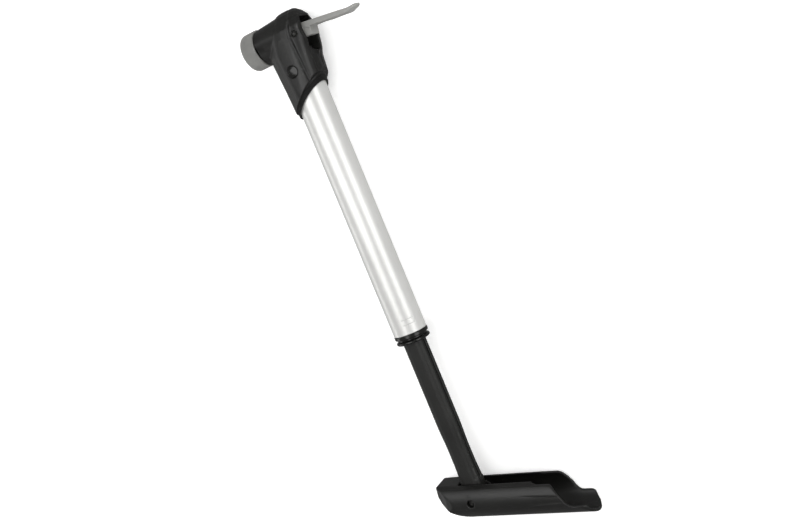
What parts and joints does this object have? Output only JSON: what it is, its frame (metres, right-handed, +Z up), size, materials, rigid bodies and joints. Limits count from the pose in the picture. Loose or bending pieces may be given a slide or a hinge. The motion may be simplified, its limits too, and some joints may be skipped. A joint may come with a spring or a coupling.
{
  "type": "bicycle hand pump",
  "caption": "Bicycle hand pump with an aluminium barrel, a lever-lock valve head and a sleeve handle that swings open into a T.",
  "frame": {"origin": "middle of the bounding box's base: the plane on which the pump lies on its side", "axes": "+Y along the barrel from the handle to the valve head, +X the way the opened handle points, +Z up out of the flat side of the head"},
  "size_m": [0.1072, 0.3538, 0.0272],
  "materials": {
    "satin_aluminium": "satin anodised, fine lengthwise grain",
    "black_nylon": "moulded, fine matt texture",
    "black_acetal": "turned, glossy",
    "grey_nylon": "moulded, fine grain",
    "black_rubber": "matt",
    "pin_steel": "plain",
    "natural_acetal": "moulded"
  },
  "bodies": {
    "pump_body": {"barrel_tube": "satin_aluminium", "gland_nut": "black_acetal", "rod_bush": "natural_acetal", "bumper_ring": "black_acetal", "head_body": "black_nylon", "head_badge": "black_nylon", "head_gasket": "black_rubber", "check_seat": "natural_acetal", "valve_seal": "black_rubber", "seal_washer": "natural_acetal", "lever_pin": "pin_steel"},
    "rod": {"pump_rod": "black_nylon", "piston": "natural_acetal", "piston_seal": "black_rubber", "piston_screw": "pin_steel"},
    "handle": {"handle_shell": "black_nylon", "handle_pin": "pin_steel", "pivot_washer_upper": "natural_acetal", "pivot_washer_lower": "natural_acetal"},
    "lever": {"clamp_lever": "grey_nylon"},
    "plunger": {"chuck_plunger": "natural_acetal", "plunger_ring_front": "black_rubber", "plunger_ring_rear": "black_rubber", "core_depressor": "pin_steel"},
    "collar": {"valve_cap": "grey_nylon"},
    "check": {"check_ball": "pin_steel"}
  },
  "joints": [
    {"name": "rod_slide", "type": "slide", "parent": "pump_body", "child": "rod", "axis": [0, 1, 0], "range_m": [-0.06, 0.094]},
    {"name": "handle_fold", "type": "hinge", "parent": "rod", "child": "handle", "pos_m": [-0.02413, -0.15282, 0.0136], "axis": [0, 0, 1], "range_deg": [0, 97.6]},
    {"name": "lever_clamp", "type": "hinge", "parent": "pump_body", "child": "lever", "pos_m": [-0.01263, 0.16068, 0.0136], "axis": [0, 0, 1], "range_deg": [-80, 0]},
    {"name": "plunger_slide", "type": "slide", "parent": "pump_body", "child": "plunger", "axis": [1, 0, 0], "range_m": [0, 0.00245]},
    {"name": "collar_turn", "type": "hinge", "parent": "pump_body", "child": "collar", "pos_m": [-0.04813, 0.16348, 0.0136], "axis": [-1, 0, 0], "range_deg": [0, 360]},
    {"name": "check_lift", "type": "slide", "parent": "pump_body", "child": "check", "axis": [0, 1, 0], "range_m": [0, 0.0008]}
  ],
  "couplings": [
    {"joint": "plunger_slide", "follows": "lever_clamp", "m_per_rad": -0.0017189}
  ]
}
